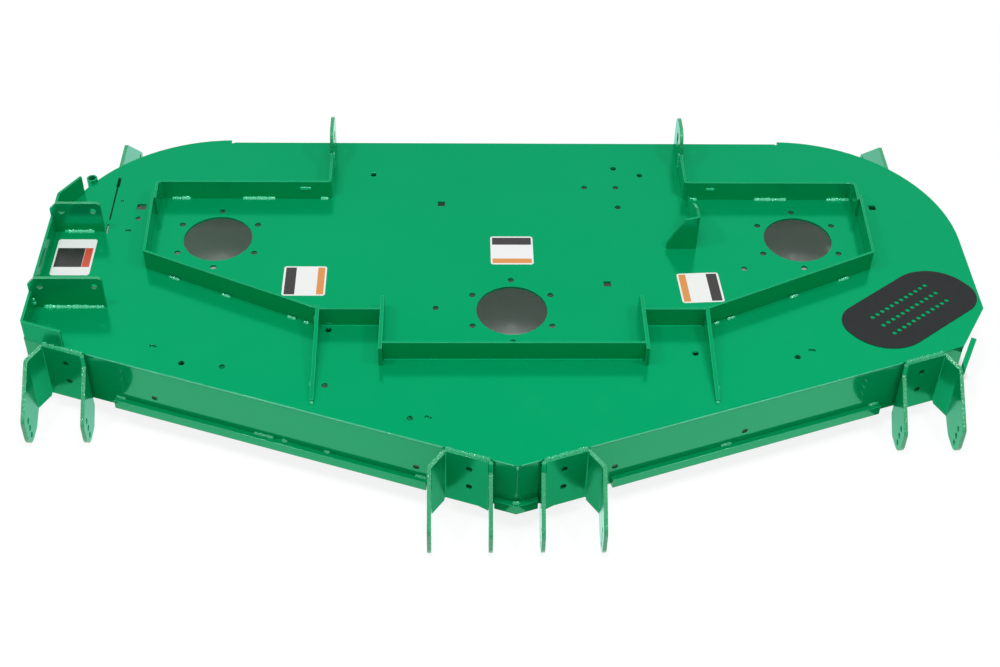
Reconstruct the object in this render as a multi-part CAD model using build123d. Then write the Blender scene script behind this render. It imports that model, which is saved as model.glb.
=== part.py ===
# Welded shell of a three-spindle mower deck, in millimetres.
# Origin: centre spindle axis on the top face of the top plate. X to the right end, Y to the rear, Z up.
import os
from math import atan2, cos, degrees, radians, sin, sqrt, tan

from build123d import *

# Spindles
spindle_pitch = 508.0
spindle_stagger = 185.0
spindle_bore_d = 119.0
bolt_circle_d = 152.4
bolt_count = 6
bolt_start_angle = 30.0
bolt_hole_d = 11.0

# Sheet and plate stock
sheet_t = 4.5
heavy_t = 6.35
fit_gap = 0.75
sheet_bend = 6.0
tight_bend = 2.0

# Blade chamber under the top plate
shell_r = 280.0
shell_overhang = 2.5
skirt_bottom = -101.0
left_shell_angle = 151.0
right_shell_angle = -50.0
left_baffle_angle = -120.0
tab_len = 10.0
tab_drop = 2.5
left_tab_angle = 254.5
centre_tab_angle = 241.1
right_tab_angle = 265.9

# Top plate outline
nose_reach = 349.0
nose_angle = 19.5
relief_w = 5.0
corner_cut_w = 55.0
corner_cut_len = 179.0
discharge_angle = 153.0
discharge_cut_len = 81.0

# Rails on the top plate, placed from the outer spindles
rail_h = 38.0
rear_rail_offset = 112.0
rail_end_offset = 115.0
rail_corner_offset = 78.0
end_wall_len = 162.0
end_wall_angle = 2.3
end_wall_lap = 17.0
hanger_offset = 192.0
rib_len = 185.0
rib_head = 9.0
rib_toe_h = 6.0

# Walls of the centre pocket, placed from the centre spindle
tie_wall_reach = 39.0
centre_wall_reach = 119.0
side_wall_x = 211.0
side_wall_rear = 8.0
side_wall_front = 132.0
side_wall_slope = 14.0

# Hanger ears
ear_len = 76.0
ear_setback = 8.5
ear_h = 74.0
ear_shoulder_h = 44.0
ear_lean = 16.0
ear_round = 24.0
hanger_slot_w = 14.0
hanger_slot_len = 28.0
hanger_slot_z = 42.0

# Spring anchor
anchor_reach = 26.0
anchor_w = 53.5
anchor_tip_h = 12.0
anchor_shoulder_h = 65.0
anchor_h = 70.0
anchor_toe_h = 5.0
anchor_knee = 64.0

# Discharge side, placed from the left edge of the top plate
rim_h = 36.0
rim_return_w = 68.0
chute_ear_t = 6.0
chute_ear_h = 62.0
chute_ear_round = 8.0
chute_ear_cut = 12.0
rear_ear_w = 88.0
rear_ear_offset = 18.0
front_ear_w = 122.0
front_ear_offset = 178.0
chute_hole_d = 11.0
chute_pivot_inset = 19.5
chute_stop_inset = 14.0
chute_pivot_z = 45.0
tube_od = 19.0
tube_bore_d = 13.0
tube_angle = 146.3
tube_top = 6.0
tube_len = 46.0

# Wheel arms
floor_z = -138.0
web_top = -2.0
web_bottom = -108.0
web_hole_d = 10.0
web_hole_top = -28.5
web_hole_pitch = 40.0
arm_inner = 33.0
arm_web_end = 38.0
arm_outer = 61.0
arm_reach = 84.0
arm_bend = 9.0
arm_round = 14.0
arm_chin_round = 28.0
arm_heel = 33.0
inner_ear_top = -21.0
inner_ear_tip = -84.0
outer_ear_top = -14.0
outer_ear_tip = -76.0
flare_start = 26.0
axle_setback = 20.0
axle_d = 10.5
axle_pitch = 16.0
axle_mid_z = -107.0
centre_arm_x = 73.0
left_arm_inset = 68.3
right_arm_inset = 70.8
rear_arm_offset = 201.0
rear_arm_start = 277.0
rear_arm_reach = 99.0
rear_arm_tip = -95.0

# Skirt bars and skirt holes
bar_t = 9.5
bar_h = 18.0
left_bar_inset = 146.0
right_bar_inset = 136.0
left_bar_start = 64.0
right_bar_start = 77.0
nose_bar_half = 34.0
skirt_hole_d = 10.0
skirt_hole_z = -63.0
skirt_hole_x = 155.0
left_skirt_hole_inset = 214.0
right_skirt_hole_inset = 371.0

# Corner lug
lug_t = 9.0
lug_h = 12.0
lug_top = -8.0
lug_out = 27.0
lug_back = 31.0
lug_angle = 64.0
lug_len = 90.0

# Foot pad
pad_len = 250.0
pad_w = 128.0
pad_t = 1.5
pad_offset = (161.5, -181.5)
pad_angle = 37.5
pad_big_round = 76.0
pad_small_round = 44.0

# Plain holes in the top plate: twelve-sided, to keep the facet count low
hole_sides = 12
round_d = 11.0
carriage_w = 13.0
wide_carriage_w = 16.0
idler_x = 197.0
idler_y = 331.5
idler_pitch = 57.0
guide_x = 244.0
guide_y = 368.0
tensioner_hole = (-119.5, 283.5)
idler_stop_hole = (164.0, 66.5)
belt_guide_hole = (-127.3, 5.5)
rib_holes = [(-302.4, -48.3), (-300.6, -176.9), (-164.7, -248.8), (296.0, -103.7)]
left_guard_offsets = [(41.0, -319.3), (-24.7, -310.8)]
right_guard_offset = (-46.4, -297.1)
spring_hole_offset = (-104.8, -78.5)
cover_hole_offset = (-145.0, 87.5)
cover_square_offset = (149.5, 90.0)
latch_hole_offset = (-145.8, 54.9)
gauge_slot_offset = (-159.0, 22.0)
gauge_hole_offset = (-182.0, 104.5)
gauge_w = 5.0
slit_inset = 91.0
slit_w = 3.0
slit_front = (13.0, 39.0)
slit_mid = (50.0, 144.0)
slit_rear = (144.0, 172.0)

# Derived values
shell_out_r = shell_r + sheet_t
end_r = shell_out_r + shell_overhang
side_x = spindle_pitch + end_r
rear_y = spindle_stagger + shell_out_r
nose_slope = tan(radians(nose_angle))
nose_cos = cos(radians(nose_angle))
nose_sin = sin(radians(nose_angle))
line_angle = degrees(atan2(spindle_stagger, spindle_pitch))
corner_x = side_x - corner_cut_w
left_spindle = (-spindle_pitch, spindle_stagger)
right_spindle = (spindle_pitch, spindle_stagger)
centre_spindle = (0.0, 0.0)
left_arm_x = left_arm_inset - side_x
right_arm_x = corner_x - right_arm_inset
hanger_x = spindle_pitch - hanger_offset
rear_rail_y = spindle_stagger + rear_rail_offset
ear_rear_y = rear_y - ear_setback
ear_front_y = ear_rear_y - ear_len
rail_end_x = spindle_pitch + rail_end_offset
rail_corner_y = spindle_stagger - rail_corner_offset
rib_out_x = hanger_x + heavy_t
chute_pivot_x = side_x - chute_pivot_inset
tabs = {
    "left": (left_spindle, left_tab_angle),
    "centre": (centre_spindle, centre_tab_angle),
    "right": (right_spindle, right_tab_angle),
}
parts = {}


# Y of the front edge line at a given X
def front_y(x):
    return nose_slope * abs(x) - nose_reach


# Point at a radius and angle about a centre
def polar(centre, radius, angle):
    return (centre[0] + radius * cos(radians(angle)), centre[1] + radius * sin(radians(angle)))


# Point at an offset from a centre
def beside(centre, offset):
    return (centre[0] + offset[0], centre[1] + offset[1])


# Closed polygon as a face
def polygon(*points):
    return make_face(Polyline(*points, close=True))


# Face drawn in plan, raised between two heights
def raised(face, low, high):
    return Pos(0, 0, low) * extrude(face, high - low, dir=(0, 0, 1))


# Face drawn in side view as (y, z), given thickness along X
def side_plate(face, x, thickness):
    return Pos(x, 0, 0) * extrude(Plane.YZ * face, thickness, dir=(1, 0, 0))


# Face drawn in front view as (x, z), given thickness along Y
def cross_plate(face, y, thickness):
    return Pos(0, y, 0) * extrude(Plane.XZ * face, thickness, dir=(0, 1, 0))


# Strip of sheet folded along a plan line, thickness laid to its right
def folded(points, thickness, bend, low, high):
    line = FilletPolyline(*points, radius=bend).wire()
    return raised(make_face(line.offset_2d(thickness, side=Side.RIGHT, closed=True)), low, high)


# Strip of sheet rolled about a spindle from one angle to another
def rolled(centre, start, end, low, high):
    ring = Circle(shell_out_r) - Circle(shell_r)
    corners = [polar((0, 0), 2 * end_r, start + (end - start) * i / 4) for i in range(5)]
    return raised(Pos(*centre) * (ring & polygon((0, 0), *corners)), low, high)


# Bars that drill holes: true rounds for fits, twelve-sided for plain holes
def round_bar(diameter, length):
    return Cylinder(diameter / 2, length)


def plain_bar(diameter, length):
    return extrude(RegularPolygon(diameter / 2, hole_sides), length / 2, both=True)


# Bar laid along X, along Y or square to the front skirt
def along_x(bar, x, y, z):
    return Pos(x, y, z) * Rot(0, 90, 0) * bar


def along_y(bar, x, y, z):
    return Pos(x, y, z) * Rot(90, 0, 0) * bar


def through_skirt(x, z, diameter):
    lean = nose_angle if x > 0 else -nose_angle
    return Pos(x, front_y(x), z) * Rot(90, 0, lean) * plain_bar(diameter, 8 * heavy_t)


# Right-hand piece and its mirror image
def handed(name, shape):
    parts[name + "_right"] = shape
    parts[name + "_left"] = mirror(shape, about=Plane.YZ)


# Top plate: one sheet with its rear edge folded down
tube_seat = polar(left_spindle, shell_out_r + tube_od / 2, tube_angle)


def plate_outline():
    step_y = spindle_stagger + sqrt(end_r**2 - relief_w**2)
    bend_y = rear_y - sheet_t - tight_bend
    left_cut = polar(left_spindle, end_r, discharge_angle)
    left_step = (-spindle_pitch - relief_w, step_y)
    right_step = (spindle_pitch + relief_w, step_y)
    front = Polyline(
        left_cut,
        (-side_x, spindle_stagger + discharge_cut_len),
        (-side_x, front_y(side_x)),
        (0, front_y(0)),
        (corner_x, front_y(corner_x)),
        (side_x, spindle_stagger - corner_cut_len),
        (side_x, spindle_stagger),
    )
    right_arc = ThreePointArc(front @ 1, polar(right_spindle, end_r, 45), right_step)
    rear = Polyline(right_step, (right_step[0], bend_y), (left_step[0], bend_y), left_step)
    left_arc = ThreePointArc(left_step, polar(left_spindle, end_r, 120), left_cut)
    return make_face(Curve() + [front, right_arc, rear, left_arc])


def plate_holes():
    holes = []
    for spot in (left_spindle, centre_spindle, right_spindle):
        holes.append(Pos(*spot) * Circle(spindle_bore_d / 2))
        for place in PolarLocations(bolt_circle_d / 2, bolt_count, start_angle=bolt_start_angle):
            holes.append(Pos(*spot) * place * Circle(bolt_hole_d / 2))
    squares = [tensioner_hole, idler_stop_hole, beside(right_spindle, cover_square_offset)]
    holes += [Pos(*spot) * Rectangle(carriage_w, carriage_w) for spot in squares]
    cover_hole = Rectangle(wide_carriage_w, wide_carriage_w)
    holes.append(Pos(*beside(left_spindle, cover_hole_offset)) * cover_hole)
    rounds = [(idler_x, idler_y + idler_pitch * i) for i in (-1, 0, 1)]
    rounds += [(idler_x - idler_pitch, idler_y), (-guide_x, guide_y), (guide_x, guide_y), belt_guide_hole]
    rounds += [beside(left_spindle, offset) for offset in left_guard_offsets + [latch_hole_offset]]
    rounds += [beside(right_spindle, offset) for offset in (right_guard_offset, spring_hole_offset)]
    rounds += rib_holes
    holes += [Pos(*spot) * RegularPolygon(round_d / 2, hole_sides) for spot in rounds]
    for centre, angle in tabs.values():
        slot = Rectangle(sheet_t + 2 * fit_gap, tab_len + 2 * fit_gap)
        holes.append(Pos(*polar(centre, shell_r + sheet_t / 2, angle)) * Rot(0, 0, angle) * slot)
    for (low, high), width in ((slit_front, slit_w), (slit_mid, slit_w), (slit_rear, 2 * slit_w)):
        middle = (slit_inset - side_x, spindle_stagger + (low + high) / 2)
        holes.append(Pos(*middle) * Rectangle(width, high - low))
    holes.append(Pos(*beside(left_spindle, gauge_slot_offset)) * Rectangle(2 * gauge_w, gauge_w))
    holes.append(Pos(*beside(left_spindle, gauge_hole_offset)) * Rectangle(gauge_w, gauge_w))
    holes.append(Pos(*tube_seat) * Circle(tube_od / 2))
    return holes


def rear_flange():
    start = (rear_y - 2 * sheet_t - tight_bend, 0)
    line = FilletPolyline(start, (rear_y, 0), (rear_y, skirt_bottom), radius=sheet_t + tight_bend).wire()
    profile = make_face(line.offset_2d(sheet_t, side=Side.RIGHT, closed=True))
    return side_plate(profile, -spindle_pitch, 2 * spindle_pitch)


parts["top_plate"] = raised(plate_outline() - plate_holes(), -sheet_t, 0) + rear_flange()


# Front skirt: two flat panels mitred at the nose, drilled with the wheel arms
def skirt_panel(end_x, bores):
    away = sheet_t * nose_sin * (-1 if end_x > 0 else 1)
    end_y = front_y(end_x)
    inner_nose = (0, front_y(0) + sheet_t / nose_cos)
    inner_end = (end_x + away, end_y + sheet_t * nose_cos)
    outline = polygon((0, front_y(0)), (end_x, end_y), inner_end, inner_nose)
    return raised(outline, skirt_bottom, -sheet_t) - bores


def web_bores(x):
    return [through_skirt(x, web_hole_top - web_hole_pitch * i, web_hole_d) for i in (0, 1)]


left_bores = web_bores(left_arm_x) + web_bores(-centre_arm_x)
for x in (left_skirt_hole_inset - side_x, -skirt_hole_x):
    left_bores.append(through_skirt(x, skirt_hole_z, skirt_hole_d))
right_bores = web_bores(right_arm_x) + web_bores(centre_arm_x)
for x in (corner_x - right_skirt_hole_inset, skirt_hole_x):
    right_bores.append(through_skirt(x, skirt_hole_z, skirt_hole_d))
parts["front_skirt_left"] = skirt_panel(-side_x, left_bores)
parts["front_skirt_right"] = skirt_panel(corner_x, right_bores)


# Rolled end shells, butted to the folded rear edge
parts["end_shell_right"] = rolled(right_spindle, right_shell_angle, 90, skirt_bottom, -sheet_t)
parts["end_shell_left"] = rolled(left_spindle, 90, left_shell_angle, skirt_bottom, -sheet_t)


# Three-scallop front baffle: rolled strips that meet halfway between spindles, with a tab on each
def nearer(first, second):
    run = second[0] - first[0]
    rise = second[1] - first[1]
    block = Box(4 * end_r, 8 * end_r, 8 * end_r, align=(Align.MIN, Align.CENTER, Align.CENTER))
    return Pos(first[0] + run / 2, first[1] + rise / 2, 0) * Rot(0, 0, degrees(atan2(rise, run))) * block


def tab(name):
    centre, angle = tabs[name]
    half = degrees(tab_len / 2 / shell_r)
    return rolled(centre, angle - half, angle + half, -sheet_t, -tab_drop)


right_strip = rolled(right_spindle, line_angle - 180, right_shell_angle, skirt_bottom, -sheet_t)
parts["front_baffle_right"] = right_strip - nearer(right_spindle, centre_spindle) + tab("right")
left_strip = rolled(left_spindle, left_baffle_angle, -line_angle, skirt_bottom, -sheet_t)
parts["front_baffle_left"] = left_strip - nearer(left_spindle, centre_spindle) + tab("left")
centre_strip = rolled(centre_spindle, -180 - line_angle, line_angle, skirt_bottom, -sheet_t)
centre_strip -= nearer(centre_spindle, left_spindle) + nearer(centre_spindle, right_spindle)
parts["front_baffle_centre"] = centre_strip + tab("centre")


# Flat bars along the foot of the front skirt
def skirt_bar(inner_x, outer_x):
    away = bar_t * nose_sin * (1 if outer_x > 0 else -1)
    inner = (inner_x, front_y(inner_x))
    outer = (outer_x, front_y(outer_x))
    front = [(x + away, y - bar_t * nose_cos) for x, y in (outer, inner)]
    return raised(polygon(inner, outer, *front), skirt_bottom, skirt_bottom + bar_h)


parts["skirt_bar_left"] = skirt_bar(-centre_arm_x - left_bar_start, left_bar_inset - side_x)
parts["skirt_bar_right"] = skirt_bar(centre_arm_x + right_bar_start, corner_x - right_bar_inset)
bar_nose_y = front_y(0) - bar_t / nose_cos
bar_end_y = bar_nose_y + nose_slope * nose_bar_half
nose_bar = polygon(
    (0, front_y(0)),
    (nose_bar_half, front_y(nose_bar_half)),
    (nose_bar_half, bar_end_y),
    (0, bar_nose_y),
    (-nose_bar_half, bar_end_y),
    (-nose_bar_half, front_y(nose_bar_half)),
)
parts["skirt_bar_nose"] = raised(nose_bar, skirt_bottom, skirt_bottom + bar_h)


# Arm outline in side view as (y, z) about a base line, rounded at the axle end
def arm_face(base_y, tip, points):
    face = polygon(*[(base_y + y, z) for y, z in points])
    chin = min(face.vertices(), key=lambda v: abs(v.X - base_y - tip) + v.Y)
    face = fillet(chin, arm_chin_round)
    brow = min(face.vertices(), key=lambda v: abs(v.X - base_y - tip) - v.Y / end_r)
    return fillet(brow, arm_round)


# Three axle holes in a column: the middle one a true round
def axle_holes(x, y, length):
    plain = [along_x(plain_bar(axle_d, length), x, y, axle_mid_z + axle_pitch * i) for i in (-1, 1)]
    return plain + [along_x(round_bar(axle_d, length), x, y, axle_mid_z)]


# Wheel arm: one heavy plate folded into a web and two ears, the outer ear flared out
def wheel_arm(hole_x):
    a = abs(hole_x)
    inner = a - arm_inner - heavy_t / 2
    outer = a + arm_outer + heavy_t / 2
    web_end = a + arm_web_end
    base_y = front_y(a - arm_inner)
    tip_y = base_y - arm_reach
    jog_y = front_y(web_end) - (outer - web_end)
    web = [(inner, front_y(inner)), (web_end, front_y(web_end)), (outer, jog_y)]
    blank = folded([(inner, tip_y), *web, (outer, tip_y)], heavy_t, arm_bend, floor_z, web_top)
    inner_ear = arm_face(base_y, -arm_reach, [
        (arm_outer, web_top),
        (-arm_bend, web_top),
        (-arm_bend, inner_ear_top),
        (-arm_reach, inner_ear_tip),
        (-arm_reach, floor_z),
        (-arm_heel, floor_z),
        (0, web_bottom),
        (arm_outer, web_bottom),
    ])
    outer_ear = arm_face(base_y, -arm_reach, [
        (arm_outer, web_top),
        (flare_start, web_top),
        (0, outer_ear_top),
        (-arm_reach, outer_ear_tip),
        (-arm_reach, floor_z),
        (-arm_heel, floor_z),
        (flare_start, web_bottom),
        (arm_outer, web_bottom),
    ])
    keep = side_plate(inner_ear, inner - heavy_t, web_end - inner + heavy_t)
    keep += side_plate(outer_ear, web_end, outer - web_end + heavy_t)
    arm = (blank & keep) - axle_holes(a, tip_y + axle_setback, 4 * arm_outer) - web_bores(a)
    return arm if hole_x > 0 else mirror(arm, about=Plane.YZ)


parts["wheel_arm_left_outer"] = wheel_arm(left_arm_x)
parts["wheel_arm_left_centre"] = wheel_arm(-centre_arm_x)
parts["wheel_arm_right_centre"] = wheel_arm(centre_arm_x)
parts["wheel_arm_right_outer"] = wheel_arm(right_arm_x)


# Rear wheel arms: single plates cut to the round of the end shells
def rear_arm():
    x = spindle_pitch + rear_arm_offset
    base_y = spindle_stagger + rear_arm_start
    tip_y = base_y + rear_arm_reach
    face = arm_face(base_y, rear_arm_reach, [
        (spindle_stagger - base_y, -sheet_t),
        (0, -sheet_t),
        (rear_arm_reach, rear_arm_tip),
        (rear_arm_reach, floor_z),
        (rear_arm_reach - arm_reach + arm_heel, floor_z),
        (0, web_bottom),
        (spindle_stagger - base_y, web_bottom),
    ])
    arm = side_plate(face, x - heavy_t / 2, heavy_t)
    arm -= raised(Pos(*right_spindle) * Circle(shell_out_r), floor_z, 0)
    return arm - axle_holes(x, tip_y - axle_setback, 4 * heavy_t)


handed("rear_arm", rear_arm())


# Front rails: end wall and diagonal wall folded from one strip
def end_wall_x(y):
    return rail_end_x + (y - rail_corner_y) * tan(radians(end_wall_angle))


diagonal_foot_y = 0.5 * sheet_t - tie_wall_reach
diagonal_slope = (rail_corner_y - diagonal_foot_y) / (rail_end_x - rib_out_x)


def diagonal_y(x):
    return rail_corner_y - diagonal_slope * (rail_end_x - x)


end_wall_rear_y = rail_corner_y + end_wall_len
past_x = rib_out_x - 2 * heavy_t
front_rail = [
    (end_wall_x(end_wall_rear_y), end_wall_rear_y),
    (rail_end_x, rail_corner_y),
    (past_x, diagonal_y(past_x)),
]
wall = folded(front_rail, sheet_t, sheet_bend, 0, rail_h)
to_left = (Align.MAX, Align.CENTER, Align.CENTER)
wall -= Pos(rib_out_x, 0, 0) * Box(end_r, 2 * end_r, 4 * rail_h, align=to_left)
handed("front_rail", wall)

# Rear rails, folded back into the hanger flange and forward into a return that laps the end wall
return_in = 2 * sheet_t / cos(radians(end_wall_angle))
return_y = end_wall_rear_y - end_wall_lap
rear_rail = [
    (end_wall_x(return_y) - return_in, return_y),
    (end_wall_x(rear_rail_y) - return_in, rear_rail_y),
    (hanger_x, rear_rail_y),
    (hanger_x, ear_front_y),
]
handed("rear_rail", folded(rear_rail, sheet_t, sheet_bend, 0, rail_h))

# Hanger ears stand against the ends of the hanger flanges
ear = polygon(
    (ear_front_y, 0),
    (ear_rear_y, 0),
    (ear_rear_y, ear_h),
    (ear_front_y + ear_lean, ear_h),
    (ear_front_y, ear_shoulder_h),
)
ear = fillet([v for v in ear.vertices() if v.Y > ear_shoulder_h], ear_round)
slot_y = (ear_front_y + ear_rear_y) / 2
ear -= Pos(slot_y, hanger_slot_z) * Rot(0, 0, 90) * SlotOverall(hanger_slot_len, hanger_slot_w)
handed("hanger_ear", side_plate(ear, hanger_x, heavy_t))

# Ribs that taper to the front
rib_rear_y = rib_head - tie_wall_reach
rib = polygon(
    (rib_rear_y, 0),
    (rib_rear_y, rail_h),
    (-tie_wall_reach, rail_h),
    (rib_rear_y - rib_len, rib_toe_h),
    (rib_rear_y - rib_len, 0),
)
handed("rib", side_plate(rib, hanger_x, heavy_t))

# Side walls of the centre pocket, and the walls that tie them to the ribs
side_wall = polygon(
    (-side_wall_front, 0),
    (-side_wall_front, rail_h),
    (side_wall_rear - side_wall_slope, rail_h),
    (side_wall_rear, rail_h - side_wall_slope),
    (side_wall_rear, 0),
)
handed("side_wall", side_plate(side_wall, side_wall_x, heavy_t))
tie_x = side_wall_x + heavy_t
tie_wall = polygon((tie_x, 0), (hanger_x, 0), (hanger_x, rail_h), (tie_x, rail_h))
handed("tie_wall", cross_plate(tie_wall, -tie_wall_reach, sheet_t))
centre_wall = polygon((-side_wall_x, 0), (side_wall_x, 0), (side_wall_x, rail_h), (-side_wall_x, rail_h))
parts["centre_wall"] = cross_plate(centre_wall, -centre_wall_reach, sheet_t)

# Spring anchor: a fin folded square to a leg that meets the rear rail
anchor_front_y = spindle_stagger - anchor_reach
anchor_leg_x = hanger_x + sheet_bend
anchor_out_x = anchor_leg_x + sheet_t
anchor_tip_x = anchor_out_x - anchor_w
fin = polygon(
    (anchor_tip_x, 0),
    (anchor_out_x, 0),
    (anchor_out_x, anchor_h),
    (anchor_out_x - 2 * anchor_tip_h, anchor_shoulder_h),
    (anchor_tip_x + anchor_tip_h, anchor_h / 2),
    (anchor_tip_x, anchor_tip_h),
)
leg = polygon(
    (anchor_front_y, 0),
    (rear_rail_y, 0),
    (rear_rail_y, anchor_toe_h),
    (spindle_stagger + anchor_knee, rail_h),
    (spindle_stagger, anchor_h),
    (anchor_front_y, anchor_h),
)
anchor = cross_plate(fin, anchor_front_y, sheet_t) + side_plate(leg, anchor_leg_x, sheet_t)
fold_edge = anchor.edges().filter_by(Axis.Z).sort_by(Axis.Y)[0:2].sort_by(Axis.X)[-1]
parts["spring_anchor"] = fillet(fold_edge, sheet_t)

# Rim folded around the discharge corner
rim_return_x = side_x - rim_return_w
rim = [
    (-rim_return_x, front_y(rim_return_x)),
    (-side_x, front_y(side_x)),
    (-side_x, spindle_stagger + discharge_cut_len),
    polar(left_spindle, end_r, discharge_angle),
]
parts["discharge_rim"] = folded(rim, sheet_t, sheet_bend, 0, rim_h)


# Chute ears: upright plates over the rim, drilled for the chute pivot and its stop
def chute_ear(width, y):
    inner_x = side_x - width
    face = polygon(
        (sheet_t - side_x, 0),
        (-inner_x, 0),
        (-inner_x, chute_ear_h),
        (chute_ear_cut - side_x, chute_ear_h),
        (-side_x, chute_ear_h - chute_ear_cut),
        (-side_x, rim_h),
        (sheet_t - side_x, rim_h),
    )
    face = fillet(max(face.vertices(), key=lambda v: v.X + v.Y), chute_ear_round)
    plate = cross_plate(face, y, chute_ear_t)
    stop_x = inner_x + chute_stop_inset
    plate -= along_y(round_bar(chute_hole_d, 4 * chute_ear_t), -chute_pivot_x, y, chute_pivot_z)
    return plate - along_y(plain_bar(chute_hole_d, 4 * chute_ear_t), -stop_x, y, chute_pivot_z)


parts["chute_ear_rear"] = chute_ear(rear_ear_w, spindle_stagger + rear_ear_offset)
parts["chute_ear_front"] = chute_ear(front_ear_w, spindle_stagger - front_ear_offset)

# Hinge tube in its seat on the left shell
tube = Circle(tube_od / 2) - Circle(tube_bore_d / 2)
parts["hinge_tube"] = raised(Pos(*tube_seat) * tube, tube_top - tube_len, tube_top)

# Corner lug, round at the rear and cut to the outer ear of the right wheel arm
lug_face = Rectangle(lug_len, lug_h, align=(Align.MAX, Align.MAX))
lug_face = fillet([v for v in lug_face.vertices() if v.X > -lug_h], 0.49 * lug_h)
lug = cross_plate(lug_face, -lug_t / 2, lug_t)
lug = Pos(corner_x + lug_out, front_y(corner_x) + lug_back, lug_top) * Rot(0, 0, lug_angle) * lug
ear_face_x = right_arm_x + arm_outer + heavy_t / 2
lug -= Pos(ear_face_x, 0, 0) * Box(end_r, 4 * end_r, end_r, align=to_left)
parts["corner_lug"] = lug

# Foot pad with two large and two small corners
pad = Rectangle(pad_len, pad_w)
pad = fillet([v for v in pad.vertices() if v.X * v.Y > 0], pad_big_round)
sharp = [v for v in pad.vertices() if abs(v.X) > pad_len / 2 - 1 and v.X * v.Y < -pad_w]
pad = fillet(sharp, pad_small_round)
parts["foot_pad"] = raised(Pos(*beside(right_spindle, pad_offset)) * Rot(0, 0, pad_angle) * pad, 0, pad_t)

os.makedirs("parts", exist_ok=True)
for name, shape in parts.items():
    shape.label = name
    export_step(shape, f"parts/{name}.step")
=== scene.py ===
# %% [markdown]
# # A welded mower deck in green powder coat
#
# The deck is a shell of cut, folded and rolled steel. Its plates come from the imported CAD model, so
# this lesson doesn't draw them again. It gives them what a CAD model lacks: soft painted edges,
# weld beads, a gloss paint with its fine ripple, a grip pad and plain printed films.
#
# Every code cell is short and prints what it made.

from math import ceil, cos, pi, radians, sin, sqrt

import bmesh
import bpy
from mathutils import Matrix, Vector, noise


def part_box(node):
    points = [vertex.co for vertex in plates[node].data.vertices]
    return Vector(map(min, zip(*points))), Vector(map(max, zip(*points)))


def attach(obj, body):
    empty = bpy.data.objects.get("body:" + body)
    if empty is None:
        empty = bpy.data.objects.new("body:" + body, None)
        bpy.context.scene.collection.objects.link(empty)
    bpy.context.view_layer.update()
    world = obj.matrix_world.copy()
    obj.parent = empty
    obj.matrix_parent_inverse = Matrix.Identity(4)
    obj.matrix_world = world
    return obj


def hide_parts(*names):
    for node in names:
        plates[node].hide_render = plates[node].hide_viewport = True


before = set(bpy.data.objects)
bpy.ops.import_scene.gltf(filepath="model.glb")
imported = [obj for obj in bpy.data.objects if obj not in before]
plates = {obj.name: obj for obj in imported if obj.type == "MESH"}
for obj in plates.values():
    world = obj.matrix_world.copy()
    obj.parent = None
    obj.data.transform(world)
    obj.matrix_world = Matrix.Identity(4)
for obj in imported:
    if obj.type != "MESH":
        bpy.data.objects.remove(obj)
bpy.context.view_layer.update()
MM = 0.001
print("plates loaded:", len(plates))

# %% [markdown]
# ## Camera
#
# The photograph looks down on the deck from the front, a little from the left, and the camera leans
# by about one and a half degrees. A look-at helper can't lean, so the three camera directions are
# written out from yaw, pitch and roll and set as the columns of the camera's matrix.

# %% Camera
CAMERA_PLACE = Vector((-0.0925, -1.9632, 1.7910))
YAW, PITCH, ROLL = radians(2.149), radians(43.195), radians(-1.488)
SENSOR_WIDTH, LENS = 36, 57.38

ahead = Vector((sin(YAW) * cos(PITCH), cos(YAW) * cos(PITCH), -sin(PITCH)))
level = Vector((cos(YAW), -sin(YAW), 0))
below = ahead.cross(level)
across = cos(ROLL) * level + sin(ROLL) * below
above = sin(ROLL) * level - cos(ROLL) * below

camera_data = bpy.data.cameras.new("photo_camera")
camera_data.sensor_width = SENSOR_WIDTH
camera_data.lens = LENS
camera = bpy.data.objects.new("photo_camera", camera_data)
columns = Matrix((across, above, -ahead)).transposed()
camera.matrix_world = Matrix.Translation(CAMERA_PLACE) @ columns.to_4x4()
bpy.context.scene.collection.objects.link(camera)
bpy.context.scene.camera = camera
bpy.context.scene.view_settings.view_transform = "Standard"
print("camera lens", LENS, "mm")

# %% [markdown]
# ## Small helpers for node trees
#
# Most of the work in a material is placing nodes and joining them. A few helpers keep that
# readable. The first adds a node and sets its values, and the short ones after it add the nodes
# that come up again and again. The last three make an empty node group with named sockets, place a
# group in a material, and start a material. In Blender 4.5 a group's sockets belong to its
# interface.

# %% Node helpers
def give(tree, node, inputs):
    for key, value in dict(inputs).items():
        if isinstance(value, bpy.types.NodeSocket):
            tree.links.new(value, node.inputs[key])
        else:
            node.inputs[key].default_value = value
    return node


def add(tree, kind, inputs=(), **settings):
    node = tree.nodes.new(kind)
    for key, value in settings.items():
        setattr(node, key, value)
    return give(tree, node, inputs)


def maths(tree, operation, *values):
    return add(tree, "ShaderNodeMath", dict(enumerate(values)), operation=operation).outputs[0]


def ramp(tree, value, low, high, start=0.0, end=1.0):
    ends = {0: value, 1: low, 2: high, 3: start, 4: end}
    return add(tree, "ShaderNodeMapRange", ends).outputs[0]


def share(tree, amount, without, whole):
    return add(tree, "ShaderNodeMix", {0: amount, 2: without, 3: whole}).outputs[0]


def tint(tree, mask, under, over):
    colors = {0: mask, 6: under, 7: over}
    return add(tree, "ShaderNodeMix", colors, data_type="RGBA").outputs[2]


def speckle(tree, spot, size, detail):
    scale = maths(tree, "DIVIDE", 1, size)
    inputs = {"Vector": spot, "Detail": detail, "Scale": scale}
    return add(tree, "ShaderNodeTexNoise", inputs).outputs[0]


def spot_on_piece(tree):
    return add(tree, "ShaderNodeTexCoord").outputs["Object"]


print("node helpers ready")

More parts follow.
